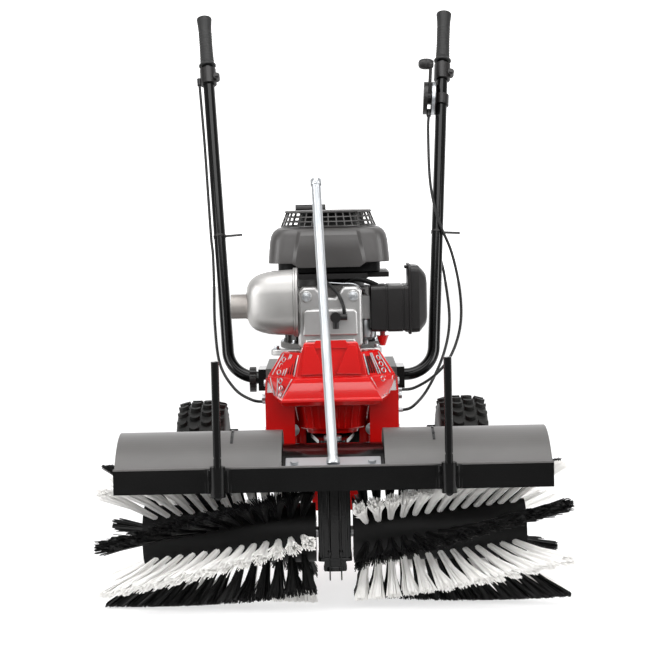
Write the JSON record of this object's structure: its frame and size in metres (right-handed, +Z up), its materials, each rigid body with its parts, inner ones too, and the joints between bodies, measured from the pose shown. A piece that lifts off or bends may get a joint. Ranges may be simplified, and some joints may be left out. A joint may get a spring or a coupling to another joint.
{
  "type": "power brush sweeper",
  "caption": "Walk-behind petrol sweeper: rotary brushes under a swivelling hood, an engine over a red transmission on driven wheels, and a U-shaped handlebar with levers.",
  "frame": {"origin": "on the floor, at the middle of the machine's length and width", "axes": "+Z up, the brushes at the front face -Y, +X to the right as seen from the front"},
  "size_m": [0.8526, 1.0142, 1.1564],
  "materials": {
    "red_paint": "satin",
    "red_gloss": "gloss",
    "black_metal": "gloss",
    "hood_paint": "satin",
    "zinc": "satin",
    "steel": "satin",
    "bronze": "satin",
    "rim_paint": "satin",
    "tyre": "matte",
    "cast_aluminium": "satin",
    "muffler_steel": "satin",
    "shroud_plastic": "satin",
    "black_plastic": "satin",
    "grip_rubber": "matte",
    "white_bristle": "satin",
    "black_bristle": "satin"
  },
  "bodies": {
    "chassis": {"left_side_plate": "red_paint", "right_side_plate": "red_paint", "transmission_case_left": "red_paint", "transmission_case_right": "red_paint", "bell_housing": "red_paint", "front_cover": "red_gloss", "swivel_bracket": "black_metal", "swivel_pin": "zinc", "handlebar_clamps": "black_metal", "engine_block": "cast_aluminium", "valve_cover": "cast_aluminium", "muffler": "muffler_steel", "carburettor": "cast_aluminium", "air_filter_box": "black_plastic", "air_filter_cover": "black_plastic", "fan_shroud": "shroud_plastic", "blower_base": "black_plastic", "starter_cover": "black_plastic", "fuel_tank": "black_plastic", "spark_plug": "black_plastic"},
    "wheels": {"axle_shaft": "steel", "axle_gear": "bronze", "left_rim": "rim_paint", "left_tyre": "tyre", "right_rim": "rim_paint", "right_tyre": "tyre"},
    "crank": {"crankshaft": "steel", "flywheel": "cast_aluminium"},
    "head": {"head_gearbox": "black_metal", "hood_left": "hood_paint", "hood_right": "hood_paint", "front_lip": "black_metal", "swivel_lever": "zinc", "lever_bolts": "zinc"},
    "brush": {"brush_shaft": "steel", "left_core": "black_plastic", "right_core": "black_plastic", "left_white_bristles": "white_bristle", "left_black_bristles": "black_bristle", "right_white_bristles": "white_bristle", "right_black_bristles": "black_bristle"},
    "handlebar_set": {"handlebar": "black_metal", "grips": "grip_rubber", "lever_brackets": "black_plastic", "throttle_body": "black_plastic", "cables": "grip_rubber", "cable_ties": "black_plastic"},
    "clamp_knob_body": {"clamp_knob": "black_plastic"},
    "travel_worm_body": {"travel_worm": "steel"},
    "drive_shaft_body": {"drive_shaft": "steel"},
    "starter_grip_body": {"starter_grip": "black_plastic"},
    "fuel_cap_body": {"fuel_cap": "black_plastic"},
    "fuel_tap_body": {"fuel_tap": "red_gloss"},
    "piston_body": {"piston": "cast_aluminium"},
    "left_stand_body": {"left_stand": "black_metal"},
    "right_stand_body": {"right_stand": "black_metal"},
    "head_worm_body": {"head_worm": "steel"},
    "left_lever_body": {"left_lever": "black_metal"},
    "right_lever_body": {"right_lever": "black_metal"},
    "throttle_lever_body": {"throttle_lever": "black_plastic"}
  },
  "joints": [
    {"name": "axle_spin", "type": "hinge", "parent": "chassis", "child": "wheels", "pos_m": [0, 0.05888, 0.165], "axis": [1, 0, 0], "continuous": true},
    {"name": "travel_worm_spin", "type": "hinge", "parent": "chassis", "child": "travel_worm_body", "pos_m": [0, -0.02112, 0.165], "axis": [0, 0, 1], "continuous": true},
    {"name": "crank_spin", "type": "hinge", "parent": "chassis", "child": "crank", "pos_m": [0, -0.02112, 0.515], "axis": [0, 0, 1], "continuous": true},
    {"name": "piston_stroke", "type": "slide", "parent": "chassis", "child": "piston_body", "axis": [0, 1, 0], "range_m": [-0.023, 0.023]},
    {"name": "head_swivel", "type": "hinge", "parent": "chassis", "child": "head", "pos_m": [0, -0.23112, 0.245], "axis": [0, 0, 1], "range_deg": [-15, 15]},
    {"name": "brush_spin", "type": "hinge", "parent": "head", "child": "brush", "pos_m": [0, -0.35312, 0.132], "axis": [1, 0, 0], "continuous": true},
    {"name": "head_worm_spin", "type": "hinge", "parent": "head", "child": "head_worm_body", "pos_m": [0, -0.35312, 0.176], "axis": [0, 1, 0], "continuous": true},
    {"name": "drive_spin", "type": "hinge", "parent": "chassis", "child": "drive_shaft_body", "pos_m": [0, -0.14112, 0.176], "axis": [0, 1, 0], "continuous": true},
    {"name": "left_stand_slide", "type": "slide", "parent": "head", "child": "left_stand_body", "axis": [0, 0, 1], "range_m": [-0.2, 0]},
    {"name": "right_stand_slide", "type": "slide", "parent": "head", "child": "right_stand_body", "axis": [0, 0, 1], "range_m": [-0.2, 0]},
    {"name": "handlebar_tilt", "type": "hinge", "parent": "chassis", "child": "handlebar_set", "pos_m": [0, 0.10388, 0.372], "axis": [1, 0, 0], "range_deg": [-20, 10], "deforming": ["cables"]},
    {"name": "left_lever_pull", "type": "hinge", "parent": "handlebar_set", "child": "left_lever_body", "pos_m": [-0.26007, 0.41673, 1.00583], "axis": [0.9977, 0.0277, 0.0621], "range_deg": [0, 16], "stiffness_Nm_per_rad": 2, "springref_deg": -11.46},
    {"name": "right_lever_pull", "type": "hinge", "parent": "handlebar_set", "child": "right_lever_body", "pos_m": [0.26007, 0.41673, 1.00583], "axis": [0.9977, -0.0277, -0.0621], "range_deg": [0, 16], "stiffness_Nm_per_rad": 2, "springref_deg": -11.46},
    {"name": "throttle_swing", "type": "hinge", "parent": "handlebar_set", "child": "throttle_lever_body", "pos_m": [0.2551, 0.35422, 0.95394], "axis": [-0.9977, 0.0277, 0.0621], "range_deg": [0, 70]},
    {"name": "clamp_knob_turn", "type": "hinge", "parent": "chassis", "child": "clamp_knob_body", "pos_m": [-0.15, 0.06188, 0.372], "axis": [1, 0, 0], "range_deg": [0, 360]},
    {"name": "starter_pull", "type": "slide", "parent": "chassis", "child": "starter_grip_body", "axis": [0, 0.7986, 0.6018], "range_m": [0, 0.45], "stiffness_N_per_m": 30, "springref_m": -0.15},
    {"name": "fuel_cap_turn", "type": "hinge", "parent": "chassis", "child": "fuel_cap_body", "pos_m": [0.05, 0.13688, 0.69], "axis": [0, 0, 1], "range_deg": [0, 90]},
    {"name": "fuel_tap_turn", "type": "hinge", "parent": "chassis", "child": "fuel_tap_body", "pos_m": [0.1, -0.17712, 0.47], "axis": [0, 0, 1], "range_deg": [0, 90]}
  ],
  "couplings": [
    {"joint": "travel_worm_spin", "follows": "axle_spin", "ratio": 20},
    {"joint": "head_worm_spin", "follows": "brush_spin", "ratio": 10},
    {"joint": "drive_spin", "follows": "brush_spin", "ratio": 10}
  ]
}
